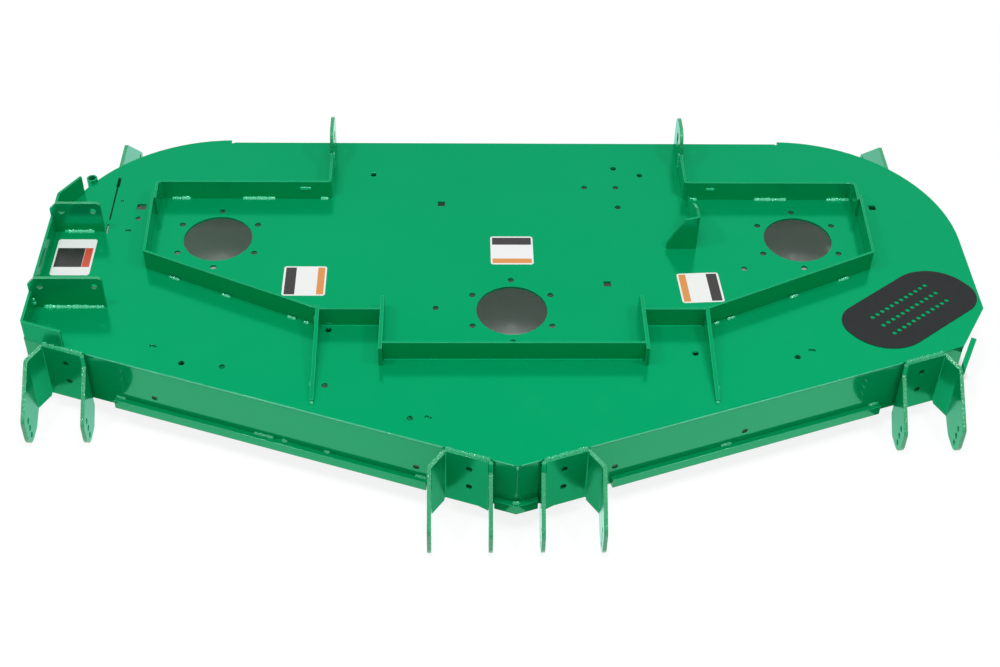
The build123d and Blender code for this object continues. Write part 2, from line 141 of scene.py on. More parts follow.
# %% Group and material helpers
def new_group(name, inputs, outputs):
    group = bpy.data.node_groups.new(name, "ShaderNodeTree")
    sockets = group.interface
    for label, kind, value in inputs:
        socket = sockets.new_socket(label, in_out="INPUT", socket_type="NodeSocket" + kind)
        socket.default_value = value
    for label, kind in outputs:
        sockets.new_socket(label, in_out="OUTPUT", socket_type="NodeSocket" + kind)
    given = group.nodes.new("NodeGroupInput").outputs
    result = group.nodes.new("NodeGroupOutput").inputs
    return group, given, result


def use_group(tree, name, inputs=()):
    node = tree.nodes.new("ShaderNodeGroup")
    node.node_tree = bpy.data.node_groups[name]
    return give(tree, node, inputs).outputs


def new_material(name):
    material = bpy.data.materials.new(name)
    material.use_nodes = True
    tree = material.node_tree
    return material, tree, tree.nodes["Principled BSDF"].inputs


print("group and material helpers ready")

# %% [markdown]
# ## Studio
#
# The deck stands on a white floor under a wide soft box, so there are hardly any cast shadows. A
# gloss paint also mirrors the room, so the world is white in the mirror, a little brighter at both
# sides, as it is in the photograph, and fades towards the ceiling and the horizon. As a lamp the
# same world only fills the shadows.

# %% World
SIDE_LIFT = (0.05, 0.4, 0.95, 1.16)
CEILING_FADE = (0.7, 0.97, 1.0, 0.85)
HORIZON_FADE = (0.05, 0.62, 0.32, 1.0)
SHADOW_FILL = 0.26

world = bpy.data.worlds.new("studio")
bpy.context.scene.world = world
world.use_nodes = True
sky = world.node_tree
sky.nodes.clear()
direction = add(sky, "ShaderNodeTexCoord").outputs["Generated"]
towards = add(sky, "ShaderNodeSeparateXYZ", {0: direction}).outputs
side_lift = ramp(sky, maths(sky, "ABSOLUTE", towards["X"]), *SIDE_LIFT)
ceiling = ramp(sky, towards["Z"], *CEILING_FADE)
horizon = ramp(sky, towards["Z"], *HORIZON_FADE)
in_the_mirror = maths(sky, "MULTIPLY", maths(sky, "MULTIPLY", side_lift, ceiling), horizon)
rays = add(sky, "ShaderNodeLightPath").outputs
fill = share(sky, rays["Is Diffuse Ray"], 1.0, SHADOW_FILL)
seen = maths(sky, "MAXIMUM", rays["Is Camera Ray"], rays["Is Transmission Ray"])
strength = share(sky, seen, maths(sky, "MULTIPLY", in_the_mirror, fill), 1.0)
light = add(sky, "ShaderNodeBackground", {"Color": (1, 1, 1, 1), "Strength": strength})
sky.links.new(light.outputs[0], add(sky, "ShaderNodeOutputWorld").inputs[0])
print("world:", world.name)

# %% [markdown]
# The wide box hangs high, which leaves the upright walls darker than the plate. A wide box spreads
# its mirror image over a whole bead, which then looks grey, so this one isn't mirrored. Three small
# lamps are, and they draw the white glints on the beads and the bright lines along the rounded
# edges.

# %% Lamps
DECK_MIDDLE = Vector((0, 0, 0))
OVERHEAD = (-0.1, -0.55, 2.7)


def soft_box(name, place, size, power, glints=True):
    lamp = bpy.data.lights.new(name, "AREA")
    lamp.size = size
    lamp.energy = power
    box = bpy.data.objects.new(name, lamp)
    box.location = place
    box.rotation_euler = (DECK_MIDDLE - Vector(place)).to_track_quat("-Z", "Y").to_euler()
    box.visible_glossy = glints
    bpy.context.scene.collection.objects.link(box)
    print(name, power, "W")


soft_box("key_light", OVERHEAD, size=1.5, power=27, glints=False)
soft_box("glint_light", OVERHEAD, size=0.25, power=10)
soft_box("left_light", (-1.4, -0.4, 2.3), size=0.3, power=13)
soft_box("right_light", (1.4, -0.5, 2.3), size=0.3, power=14)

# %% [markdown]
# The floor is a pale matt surface. To the camera, and in the mirror of the paint, it gets a lift up
# to white, which leaves only the soft shade close to the metal. Far from the deck, where the lamps
# don't reach, the lift is a little stronger. Under the deck it stops, so the spindle holes look down
# on a floor in real shade with a faint painted glow on it. Along and behind the rear wall the floor
# is painted darker, a painted shadow. From below the floor is clear, so that the underside of the
# deck can be looked at too.

# %% Floor
FLOOR_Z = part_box("wheel_arm_left_centre")[0].z
FLOOR_GAP = 0.0005
FLOOR_HALF_SIZE = 7

floor_mesh = bpy.data.meshes.new("studio_floor")
shape = bmesh.new()
bmesh.ops.create_grid(shape, x_segments=8, y_segments=8, size=FLOOR_HALF_SIZE)
shape.to_mesh(floor_mesh)
shape.free()
studio_floor = bpy.data.objects.new("studio_floor", floor_mesh)
studio_floor.location.z = FLOOR_Z - FLOOR_GAP
bpy.context.scene.collection.objects.link(studio_floor)
sweep, tree, _ = new_material("white_sweep")
tree.nodes.clear()
floor_mesh.materials.append(sweep)
print("floor at", round(FLOOR_Z, 4), "m")

# %% Where the floor lies under the deck
FRONT_Y, FRONT_RISE = -0.349, 0.3541
ROUND_X, ROUND_Y, ROUND_REACH = 0.508, 0.285, 0.33
SHADE_START, SHADE_END = 0.042, 0.062

spot = add(tree, "ShaderNodeSeparateXYZ", {0: spot_on_piece(tree)}).outputs
off_centre = maths(tree, "ABSOLUTE", spot["X"])
behind_nose = maths(tree, "SUBTRACT", spot["Y"], FRONT_Y)
set_back = maths(tree, "MULTIPLY", off_centre, FRONT_RISE)
from_front = maths(tree, "SUBTRACT", behind_nose, set_back)
past_spindle = maths(tree, "MAXIMUM", maths(tree, "SUBTRACT", off_centre, ROUND_X), 0)
behind_spindle = maths(tree, "MAXIMUM", maths(tree, "SUBTRACT", spot["Y"], ROUND_Y), 0)
behind_square = maths(tree, "POWER", behind_spindle, 2)
squares = maths(tree, "ADD", maths(tree, "POWER", past_spindle, 2), behind_square)
from_round = maths(tree, "SUBTRACT", ROUND_REACH, maths(tree, "SQRT", squares))
inside = maths(tree, "MINIMUM", from_front, from_round)
in_the_open = ramp(tree, inside, SHADE_END, SHADE_START)
print("floor shade starts", SHADE_START, "m inside the deck's outline")

# %% Floor finish
# The floor is painted darker towards the rear wall, a painted shadow, and under the deck it gets a
# faint painted glow
PAINTED_REAR_SHADOW = (0.38, 0.46, 0.85, 0.2)
OPEN_TONE = 0.2
OPEN_LIFT, MIRROR_EXTRA, PAINTED_GLOW_UNDER_DECK = 0.86, 0.32, 0.06
FAR_EXTRA = (1.5, 9.0, 0.0, 0.14)

rays = add(tree, "ShaderNodeLightPath").outputs
looked_at = maths(tree, "MAXIMUM", rays["Is Camera Ray"], rays["Is Glossy Ray"])
looked_at = maths(tree, "MAXIMUM", looked_at, rays["Is Transmission Ray"])
lift = maths(tree, "MULTIPLY", in_the_open, looked_at)
# Painted shadow: the floor's tone falls from 0.85 to 0.2 towards the rear wall
painted_rear_shadow = ramp(tree, spot["Y"], *PAINTED_REAR_SHADOW)
tone = share(tree, lift, painted_rear_shadow, OPEN_TONE)
grey = add(tree, "ShaderNodeCombineColor", {0: tone, 1: tone, 2: tone}).outputs[0]
matt = add(tree, "ShaderNodeBsdfDiffuse", {"Color": grey}).outputs[0]

open_lift = maths(tree, "MULTIPLY_ADD", rays["Is Glossy Ray"], MIRROR_EXTRA, OPEN_LIFT)
y_square = maths(tree, "MULTIPLY", spot["Y"], spot["Y"])
far_square = maths(tree, "MULTIPLY_ADD", spot["X"], spot["X"], y_square)
far_extra = ramp(tree, far_square, *FAR_EXTRA)
open_lift = maths(tree, "MULTIPLY_ADD", far_extra, rays["Is Camera Ray"], open_lift)
under_deck = maths(tree, "SUBTRACT", looked_at, lift)
# Painted glow: a faint emission on the floor under the deck, weaker where the floor is painted darker
painted_glow_strength = maths(tree, "MULTIPLY", painted_rear_shadow, PAINTED_GLOW_UNDER_DECK)
painted_under_deck_glow = maths(tree, "MULTIPLY", under_deck, painted_glow_strength)
lifted = maths(tree, "MULTIPLY_ADD", lift, open_lift, painted_under_deck_glow)
glow = add(tree, "ShaderNodeEmission", {"Strength": lifted}).outputs[0]

total = add(tree, "ShaderNodeAddShader", {0: matt, 1: glow}).outputs[0]
from_below = add(tree, "ShaderNodeNewGeometry").outputs["Backfacing"]
clear = add(tree, "ShaderNodeBsdfTransparent").outputs[0]
total = add(tree, "ShaderNodeMixShader", {0: from_below, 1: total, 2: clear}).outputs[0]
tree.links.new(total, add(tree, "ShaderNodeOutputMaterial").inputs[0])
print("floor finish:", sweep.name)

# %% [markdown]
# ## Paint effects as node groups
#
# Powder coat is sprayed as dust and melts in an oven. It leaves a fine ripple called orange peel
# and a slow drift in tone where the coat is thicker or thinner. Handling leaves a little dust on
# the faces that look up, and where a plate was cut with a torch, the marks of the cut show through
# the coat.
#
# Each effect is a group, because several finishes share it with their own values. A group only
# gives colours, masks and heights, and the shader stays in the material.

# %% Group: orange peel
group, given, result = new_group(
    "OrangePeel",
    [
        ("Ripple size", "Float", 0.004),
        ("Wave size", "Float", 0.3),
        ("Wave share", "Float", 0.5),
    ],
    [("Height", "Float")],
)
spot = spot_on_piece(group)
fine = speckle(group, spot, given["Ripple size"], detail=2.0)
slow = speckle(group, spot, given["Wave size"], detail=1.0)
waves = maths(group, "MULTIPLY", slow, given["Wave share"])
group.links.new(maths(group, "ADD", fine, waves), result["Height"])
print("group:", group.name)

# %% Group: tone drift
NOISE_MIDDLE, NOISE_STRETCH = 0.5, 4

group, given, result = new_group(
    "ToneDrift",
    [
        ("Color", "Color", (0.5, 0.5, 0.5, 1)),
        ("Spread", "Float", 0.1),
        ("Patch size", "Float", 0.2),
    ],
    [("Color", "Color"), ("Mask", "Float")],
)
patch = speckle(group, spot_on_piece(group), given["Patch size"], detail=4.0)
centred = maths(group, "SUBTRACT", patch, NOISE_MIDDLE)
swing = maths(group, "MULTIPLY", given["Spread"], NOISE_STRETCH)
value = maths(group, "MULTIPLY_ADD", centred, swing, 1)
drift = add(group, "ShaderNodeHueSaturation", {"Color": given["Color"], "Value": value})
group.links.new(drift.outputs[0], result["Color"])
group.links.new(patch, result["Mask"])
print("group:", group.name)

# %% Group: settled dust
UP_RANGE, CLOUD_RANGE = (0.4, 0.95), (0.42, 0.75)

group, given, result = new_group(
    "SettledDust",
    [
        ("Color", "Color", (0.5, 0.5, 0.5, 1)),
        ("Dust", "Color", (0.6, 0.62, 0.6, 1)),
        ("Amount", "Float", 0.03),
    ],
    [("Color", "Color"), ("Mask", "Float")],
)
normal = add(group, "ShaderNodeNewGeometry").outputs["Normal"]
up = add(group, "ShaderNodeSeparateXYZ", {0: normal}).outputs["Z"]
facing_up = ramp(group, up, *UP_RANGE)
cloud_look = {"Vector": spot_on_piece(group), "Scale": 9.0, "Detail": 8.0, "Roughness": 0.7}
cloud = add(group, "ShaderNodeTexNoise", cloud_look).outputs[0]
cloud = ramp(group, cloud, *CLOUD_RANGE)
mask = maths(group, "MULTIPLY", maths(group, "MULTIPLY", cloud, facing_up), given["Amount"])
group.links.new(tint(group, mask, given["Color"], given["Dust"]), result["Color"])
group.links.new(mask, result["Mask"])
print("group:", group.name)

# %% Group: cut marks
LINE_SHARE = 0.6
PIT_RANGE = (0.4, 0.7)

group, given, result = new_group(
    "CutMarks",
    [("Line size", "Float", 0.003), ("Pit size", "Float", 0.006)],
    [("Height", "Float"), ("Mask", "Float")],
)
spot = spot_on_piece(group)
pits = speckle(group, spot, given["Pit size"], detail=5.0)
lines = speckle(group, spot, given["Line size"], detail=0.0)
group.links.new(maths(group, "MULTIPLY_ADD", lines, LINE_SHARE, pits), result["Height"])
group.links.new(ramp(group, pits, *PIT_RANGE), result["Mask"])
print("group:", group.name)

# %% [markdown]
# ## Green powder coat
#
# The coat is one deep green with a hard gloss. On the flat plate it mirrors the rails softly, so
# the roughness is low and the ripple is shallow. The mirror image is green in the photograph, as it
# is in a paint with fine metal flakes. A small metallic share gives that, because a metal tints
# what it mirrors, while the clear part of the paint stays weak.
#
# One function makes all seven finishes. The flat faces and the front skirt, whose coat is thicker
# and clearer, are full of flakes. Where the paint has drawn thin or run together there are hardly
# any and the clear part is denser, so the corners, the roll along the front edge, the cut sides and
# the weld beads glint in white. The corners, the roll and the beads also take a lighter green than
# the coat, a painted highlight.

# %% Paint recipes
COAT_GREEN = (0.0, 0.36, 0.134, 1)
# Painted highlight: the next three greens are lighter than the coat and stand in for the glints and
# bright lines on the beads, the front roll and the corners
PAINTED_HIGHLIGHT_GREEN = (0.01, 0.56, 0.27, 1)
CORNER_PAINTED_HIGHLIGHT_GREEN = (0.003, 0.41, 0.17, 1)
FRONT_BEAD_PAINTED_HIGHLIGHT_GREEN = (0.002, 0.45, 0.19, 1)
GREEN_GLINT = (0.0, 1.0, 0.9, 1)
WHITE_GLINT = (1.0, 1.0, 1.0, 1)

# A recipe is its share of flakes, the refractive index of its clear part and the glint's colour
FLAKY = (0.36, 1.2, GREEN_GLINT)
CLEAR = (0.05, 1.7, WHITE_GLINT)
LEAN = (0.05, 1.5, WHITE_GLINT)

PATCH_SIZE = 0.35
WAVE_SHARE = 1.5
PATCH_ROUGHNESS, DUST_ROUGHNESS, PIT_ROUGHNESS = 0.02, 0.8, 0.2


def powder_coat(
    name, color, recipe, roughness, spread, peel, depth, dust=0.0, marks=0.0, lacquer=0.0
):
    flake_share, density, glint = recipe
    material, tree, coat = new_material(name)
    drift_look = {"Color": color, "Spread": spread, "Patch size": PATCH_SIZE}
    drift = use_group(tree, "ToneDrift", drift_look)
    dusty = use_group(tree, "SettledDust", {"Color": drift["Color"], "Amount": dust})
    ripple = use_group(tree, "OrangePeel", {"Ripple size": peel, "Wave share": WAVE_SHARE})
    height = ripple["Height"]
    smoothest = roughness - PATCH_ROUGHNESS / 2
    rough = maths(tree, "MULTIPLY_ADD", drift["Mask"], PATCH_ROUGHNESS, smoothest)
    rough = maths(tree, "MULTIPLY_ADD", dusty["Mask"], DUST_ROUGHNESS, rough)
    if marks:
        cut = use_group(tree, "CutMarks")
        height = maths(tree, "MULTIPLY_ADD", cut["Height"], marks, height)
        rough = maths(tree, "MULTIPLY_ADD", cut["Mask"], PIT_ROUGHNESS, rough)
    bump = add(tree, "ShaderNodeBump", {"Strength": 1.0, "Distance": depth, "Height": height})
    tree.links.new(dusty["Color"], coat["Base Color"])
    tree.links.new(rough, coat["Roughness"])
    tree.links.new(bump.outputs[0], coat["Normal"])
    coat["Metallic"].default_value = flake_share
    coat["IOR"].default_value = density
    coat["Coat Weight"].default_value = lacquer
    coat["Specular Tint"].default_value = glint
    print("finish:", name)
    return material


print("paint recipes ready")

# %% Powder coat finishes
face_coat = powder_coat(
    "green_powder_coat", COAT_GREEN, FLAKY,
    roughness=0.16, spread=0.02, peel=0.004, depth=0.000012, dust=0.004,
)
skirt_coat = powder_coat(
    "green_coat_on_skirt", COAT_GREEN, FLAKY,
    roughness=0.12, spread=0.02, peel=0.004, depth=0.000012, lacquer=0.3,
)
# The corners, the front roll and the beads below take a lighter green than the coat, a painted
# highlight
corner_coat = powder_coat(
    "green_coat_on_corners", CORNER_PAINTED_HIGHLIGHT_GREEN, LEAN,
    roughness=0.14, spread=0.05, peel=0.003, depth=0.00001,
)
roll_coat = powder_coat(
    "green_coat_on_front_roll", PAINTED_HIGHLIGHT_GREEN, CLEAR,
    roughness=0.14, spread=0.05, peel=0.003, depth=0.00001,
)
cut_coat = powder_coat(
    "green_coat_on_cut_sides", COAT_GREEN, CLEAR,
    roughness=0.12, spread=0.1, peel=0.003, depth=0.0005, marks=1.5,
)
bead_coat = powder_coat(
    "green_coat_on_weld_beads", PAINTED_HIGHLIGHT_GREEN, CLEAR,
    roughness=0.08, spread=0.08, peel=0.0025, depth=0.0002, lacquer=1.0,
)
front_bead_coat = powder_coat(
    "green_coat_on_front_beads", FRONT_BEAD_PAINTED_HIGHLIGHT_GREEN, CLEAR,
    roughness=0.08, spread=0.08, peel=0.0025, depth=0.0003,
)

# %% [markdown]
# ## Soft painted edges
#
# A CAD plate ends in a perfect corner, which no light can catch. On the real deck a coat of paint
# rounds every corner by about a millimetre, and those rounds draw the bright lines along the walls.
# The plates stay as they are: a stack of modifiers welds the imported triangles, clears the flat
# ones, rounds the corners and keeps the flats flat. The bevel also hands its faces the corner
# finish, whose lighter green is a painted highlight.

# %% Corner rounding
CORNER_WIDTH, CORNER_CUTS = 0.0008, 2
CORNER_ANGLE, FLAT_ANGLE = radians(30), radians(0.5)
JOIN_REACH = 0.00001
CORNER_SLOT, CUT_SLOT = 1, 2
SAME_AS_FACE = -1


def soften(plate, corner_slot, *finishes):
    plate.data.materials.clear()
    for finish in finishes:
        plate.data.materials.append(finish)
    plate.modifiers.new("join_corners", "WELD").merge_threshold = JOIN_REACH
    flats = plate.modifiers.new("clear_flats", "DECIMATE")
    flats.decimate_type = "DISSOLVE"
    flats.angle_limit = FLAT_ANGLE
    rounds = plate.modifiers.new("round_corners", "BEVEL")
    rounds.width = CORNER_WIDTH
    rounds.segments = CORNER_CUTS
    rounds.limit_method = "ANGLE"
    rounds.angle_limit = CORNER_ANGLE
    rounds.material = corner_slot
    rounds.use_clamp_overlap = True
    plate.data.shade_smooth()
    plate.modifiers.new("keep_flats_flat", "WEIGHTED_NORMAL").keep_sharp = False


print("corners are rounded by", CORNER_WIDTH, "m")

# %% [markdown]
# The heavy arms and ears were cut with a torch, so their narrow sides take the finish of a cut
# side. Each of these plates lies square to one axis, so a face that doesn't look along that axis is
# a cut side. The folds of a wheel arm don't look along it either. They stand upright close to the
# skirt, and they keep the finish of a face.

# %% Round the corners of the plates
ACROSS_X, ACROSS_Y = 0, 1
CUT_PLATES = {
    "wheel_arm": ACROSS_X,
    "rear_arm": ACROSS_X,
    "hanger_ear": ACROSS_X,
    "chute_ear": ACROSS_Y,
}
LOOKS_AWAY = 0.3
FOLD_REACH = 0.04


def in_a_fold(name, face):
    upright = abs(face.normal.z) < LOOKS_AWAY
    ahead_of_skirt = FRONT_Y + FRONT_RISE * abs(face.center.x) - face.center.y
    return name.startswith("wheel_arm") and upright and ahead_of_skirt < FOLD_REACH


for name, plate in plates.items():
    if name == "foot_pad":
        continue
    axis = next((CUT_PLATES[kind] for kind in CUT_PLATES if name.startswith(kind)), None)
    corner_slot = CORNER_SLOT if axis is None else SAME_AS_FACE
    flat_coat = skirt_coat if "skirt" in name else face_coat
    soften(plate, corner_slot, flat_coat, corner_coat, cut_coat)
    if axis is None:
        continue
    for face in plate.data.polygons:
        if abs(face.normal[axis]) < LOOKS_AWAY and not in_a_fold(name, face):
            face.material_index = CUT_SLOT
print("plates with soft edges:", len(plates) - 1)

# %% [markdown]
# ## Weld beads
#
# A bead laid by hand is a row of overlapping puddles in the corner of two plates. Every puddle
# leaves a curved ripple, and both ends of the bead fade into the corner. The beads here are swept:
# a ring of points is set about every millimetre, the ripple swells and shrinks the ring, and faces
# join ring to ring. A cylinder with a bump map would lose the lumpy outline that catches the light.
#
# A bead is written in millimetres as its two ends, the direction in which one plate rises from the
# corner, the direction in which the other runs out of it, and the length of its legs. A flat bead
# lies across a seam in one face instead of in a corner.

# %% One ring of a bead
PUDDLE_LENGTH = 4.2
RING_POINTS = 8
SINK = 0.2
PUDDLE_BOW, PUDDLE_SHIFT, PUDDLE_ROUNDNESS = 0.35, 2.4, 0.7
SHIFT_GRAIN, LUMP_GRAIN, LUMP_SHARE = 0.13, 0.21, 1.3
FLAT_HEIGHT = 0.4
CORNER_FILL = 0.38


def bead_ring(spot, along, taper, rise, run, leg, ripple, flat):
    ring = [spot - SINK * run - (0 if flat else SINK) * rise]
    shift = PUDDLE_SHIFT * noise.noise(spot * SHIFT_GRAIN)
    lump = LUMP_SHARE * ripple * noise.noise(spot * LUMP_GRAIN)
    for k in range(RING_POINTS):
        angle = (pi if flat else pi / 2) * k / (RING_POINTS - 1)
        bow = PUDDLE_BOW * leg * sin(angle if flat else 2 * angle)
        wave = abs(sin(pi * (along + bow + shift) / PUDDLE_LENGTH)) ** PUDDLE_ROUNDNESS
        swell = leg * taper * (1 - ripple * (1 - wave) + lump)
        if flat:
            ring.append(spot + swell * (cos(angle) * rise + FLAT_HEIGHT * sin(angle) * run))
        else:
            straight = (1 - CORNER_FILL) / (cos(angle) + sin(angle))
            reach = swell * (CORNER_FILL + straight)
            ring.append(spot + reach * (cos(angle) * run + sin(angle) * rise))
    return ring


print("points in a ring:", RING_POINTS + 1)

# %% Bead maker
RING_STEP = 0.9
FEWEST_STEPS = 6
END_SHARE = 0.25
UP, FRONT, REAR, LEFT, RIGHT = (0, 0, 1), (0, -1, 0), (0, 1, 0), (-1, 0, 0), (1, 0, 0)


def lay_bead(shape, start, end, rise, run, leg, ripple=0.3, flat=False):
    start, end, rise, run = Vector(start), Vector(end), Vector(rise), Vector(run)
    length = (end - start).length
    steps = max(FEWEST_STEPS, ceil(length / RING_STEP))
    rings = []
    for i in range(steps + 1):
        along = length * i / steps
        inward = max(0, min(along, length - along, leg) / leg)
        taper = END_SHARE + (1 - END_SHARE) * sqrt(1 - (1 - inward) ** 2)
        spot = start.lerp(end, i / steps)
        ring = bead_ring(spot, along, taper, rise, run, leg, ripple, flat)
        rings.append([shape.verts.new(point * MM) for point in ring])
    for near, far in zip(rings, rings[1:]):
        for k in range(len(near)):
            shape.faces.new((near[k - 1], near[k], far[k], far[k - 1]))
    shape.faces.new(rings[0])
    shape.faces.new(rings[-1])


def keep_piece(name, shape, finish):
    bmesh.ops.recalc_face_normals(shape, faces=shape.faces)
    mesh = bpy.data.meshes.new(name)
    shape.to_mesh(mesh)
    shape.free()
    mesh.shade_smooth()
    mesh.materials.append(finish)
    piece = bpy.data.objects.new(name, mesh)
    bpy.context.scene.collection.objects.link(piece)
    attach(piece, "root")
    print(name, "faces:", len(mesh.polygons))


print("bead maker ready, one ring every", RING_STEP, "mm")

# %% [markdown]
# The rails, the hanger ears and the chute ears are stitched: short beads with gaps, so that the
# thin top plate doesn't warp.

# %% Beads on the rails and hanger ears
RAIL_FACE_Y = 297
RAIL_STITCHES = ((-602, -568), (-476, -417), (-337, -322), (322, 343), (445, 505), (577, 621))
RAIL_SEAMS = ((-372, -352), (356, 372))
SEAM_Z = 23
HANGER_Y = 385

shape = bmesh.new()
for x0, x1 in RAIL_STITCHES:
    lay_bead(shape, (x0, RAIL_FACE_Y, 0), (x1, RAIL_FACE_Y, 0), UP, FRONT, leg=5)
for x0, x1 in RAIL_SEAMS:
    ends = (x0, RAIL_FACE_Y, SEAM_Z), (x1, RAIL_FACE_Y, SEAM_Z)
    lay_bead(shape, *ends, UP, FRONT, leg=4, flat=True)
lay_bead(shape, (-628.2, 232, 0), (-629.5, 269, 0), UP, LEFT, leg=4.5)
lay_bead(shape, (628.4, 241, 0), (629.5, 269, 0), UP, RIGHT, leg=4.5)
for side in (-1, 1):
    inner, outer = side * 316, side * 320.5
    inwards, outwards = (-side, 0, 0), (side, 0, 0)
    ends = (inner, HANGER_Y, 4), (inner, HANGER_Y, 36)
    lay_bead(shape, *ends, REAR, inwards, leg=4, flat=True)
    lay_bead(shape, (outer, HANGER_Y, 6), (outer, HANGER_Y, 34), FRONT, outwards, leg=3.5)
keep_piece("rail_beads", shape, bead_coat)

# %% Beads on the chute ears
REAR_EAR_Y = 203
FRONT_EAR_Y = 7
EAR_THICKNESS = 6
EAR_BEADS = (
    (-776, -724, REAR_EAR_Y, FRONT),
    (-776, -676, FRONT_EAR_Y, FRONT),
    (-780, -716, REAR_EAR_Y + EAR_THICKNESS, REAR),
    (-776, -690, FRONT_EAR_Y + EAR_THICKNESS, REAR),
)

shape = bmesh.new()
for x0, x1, y, facing in EAR_BEADS:
    lay_bead(shape, (x0, y, 0), (x1, y, 0), UP, facing, leg=5)
lay_bead(shape, (-790.5, FRONT_EAR_Y, 4), (-790.5, FRONT_EAR_Y, 20), RIGHT, FRONT, leg=4)
keep_piece("chute_beads", shape, bead_coat)

# %% [markdown]
# The walls of the centre pocket have a thin even line of sealer along their foot, which is the same
# sweep with small legs and hardly any ripple. The ribs and the diagonal walls are only tacked.

# %% Sealer along the centre pocket
TIE_FACE_Y = -39
CENTRE_FACE_Y = -119
SEALER_LEG, SEALER_RIPPLE = 2.4, 0.02

shape = bmesh.new()
ends = (-211, CENTRE_FACE_Y, 0), (211, CENTRE_FACE_Y, 0)
lay_bead(shape, *ends, UP, FRONT, SEALER_LEG, SEALER_RIPPLE)
for side in (-1, 1):
    ends = (side * 217.4, TIE_FACE_Y, 0), (side * 316, TIE_FACE_Y, 0)
    lay_bead(shape, *ends, UP, FRONT, SEALER_LEG, SEALER_RIPPLE)
keep_piece("sealer_lines", shape, face_coat)

# %% Tacks on the ribs and diagonal walls
RIB_X, RIB_THICKNESS, RIB_TIP_Y = 322.35, 6.3, -215
DIAGONAL_Y, DIAGONAL_RISE = -39.2, 0.478
DIAGONAL_FACING = (0.431, -0.902)
DIAGONAL_TACKS = ((334, 344), (357, 372), (470, 486), (560, 580))
LEFT_RIB_TACKS = ((-76, -88), (-168, -180))
TACK_LEG = 4


def diagonal_spot(x):
    return (x, DIAGONAL_Y + DIAGONAL_RISE * (abs(x) - RIB_X), 0)


shape = bmesh.new()
for side in (-1, 1):
    rib = side * RIB_X
    inner = side * (RIB_X - RIB_THICKNESS)
    outwards = (side, 0, 0)
    lay_bead(shape, (rib, DIAGONAL_Y, 6), (rib, DIAGONAL_Y, 24), FRONT, outwards, TACK_LEG)
    lay_bead(shape, (inner, RIB_TIP_Y, 0), (rib, RIB_TIP_Y, 0), UP, FRONT, TACK_LEG)
    facing = (side * DIAGONAL_FACING[0], DIAGONAL_FACING[1], 0)
    for x0, x1 in DIAGONAL_TACKS:
        ends = diagonal_spot(side * x0), diagonal_spot(side * x1)
        lay_bead(shape, *ends, UP, facing, TACK_LEG)
for y0, y1 in LEFT_RIB_TACKS:
    lay_bead(shape, (-RIB_X, y0, 0), (-RIB_X, y1, 0), UP, LEFT, TACK_LEG)
lay_bead(shape, (RIB_X, -178, 0), (RIB_X, -190, 0), UP, RIGHT, TACK_LEG)
keep_piece("wall_beads", shape, bead_coat)

# %% [markdown]
# The wheel arms carry the deck when it bumps over a ridge, so the top of each web is welded over
# its whole width to the edge of the plate. The flat bars under the skirt are stitched again.

# %% Beads on the front edge
SLOPE = radians(19.5)
NOSE_Y = -349
LEDGE_Z = -83
WEB_TOP_Z = -2.5
WEB_ENDS = (-33, 37)
ARM_X = (-726.7, -73, 73, 669.2)
BAR_STITCHES = (
    (-650, -632),
    (-417, -384),
    (-372, -361),
    (-303, -292),
    (-157, -138),
    (586, 604),
    (330, 350),
)


def front_edge(x, z):
    return (x, NOSE_Y + sin(SLOPE) / cos(SLOPE) * abs(x), z)


def skirt_facing(x):
    return (sin(SLOPE) if x > 0 else -sin(SLOPE), -cos(SLOPE), 0)


shape = bmesh.new()
for arm_x in ARM_X:
    side = 1 if arm_x > 0 else -1
    ends = [front_edge(arm_x + side * offset, WEB_TOP_Z) for offset in WEB_ENDS]
    lay_bead(shape, *ends, UP, skirt_facing(arm_x), leg=5.5, ripple=0.34)
for x0, x1 in BAR_STITCHES:
    ends = front_edge(x0, LEDGE_Z), front_edge(x1, LEDGE_Z)
    lay_bead(shape, *ends, UP, skirt_facing(x0), leg=4)
lay_bead(shape, (0, NOSE_Y, -1), (0, NOSE_Y, -9), RIGHT, FRONT, leg=3, flat=True)
lay_bead(shape, (-7, NOSE_Y - 2, LEDGE_Z), (7, NOSE_Y - 2, LEDGE_Z), UP, FRONT, leg=4.5)
keep_piece("front_beads", shape, front_bead_coat)

# %% [markdown]
# Along the front edge of the plate the coat has run together into a thin roll between the wheel
# arms. It is the same sweep laid flat, low and almost even, and it draws the bright line along the
# edge, partly by catching the lamps and partly by its lighter green, a painted highlight.

# %% Roll of paint on the front edge
ROLL_Z = -1.7
ROLL_LEG, ROLL_RIPPLE = 1.6, 0.1
ROLL_STRETCHES = ((-38, -5), (-690, -112), (5, 38), (112, 633))

shape = bmesh.new()
for x0, x1 in ROLL_STRETCHES:
    ends = front_edge(x0, ROLL_Z), front_edge(x1, ROLL_Z)
    lay_bead(shape, *ends, UP, skirt_facing(x0), ROLL_LEG, ROLL_RIPPLE, flat=True)
keep_piece("front_roll", shape, roll_coat)

# %% [markdown]
# ## Sheets with rounded corners
#
# The grip pad and the printed films are flat sheets with a die-cut outline. A filled 2D curve is
# the shortest way to one: the first loop is the outline, every further loop is a hole, and the
# curve's own extrusion and bevel give the thickness and a soft rim. It is turned into a mesh at the
# end.

# %% Outlines
CORNER_STEPS = 16
DISC_POINTS = 20


def rounded_outline(width, height, rounds):
    points = []
    for turn, (x, y) in enumerate(((1, 1), (-1, 1), (-1, -1), (1, -1))):
        r = rounds[turn]
        middle_x, middle_y = x * (width / 2 - r), y * (height / 2 - r)
        for i in range(CORNER_STEPS + 1):
            angle = pi / 2 * (turn + i / CORNER_STEPS)
            points.append((middle_x + r * cos(angle), middle_y + r * sin(angle)))
    return points


def disc_outline(x, y, radius):
    angles = [2 * pi * i / DISC_POINTS for i in range(DISC_POINTS)]
    return [(x + radius * cos(angle), y + radius * sin(angle)) for angle in angles]


print("points in a disc:", DISC_POINTS)

# %% Sheet cutter
SHEET_LIFT = 0.05


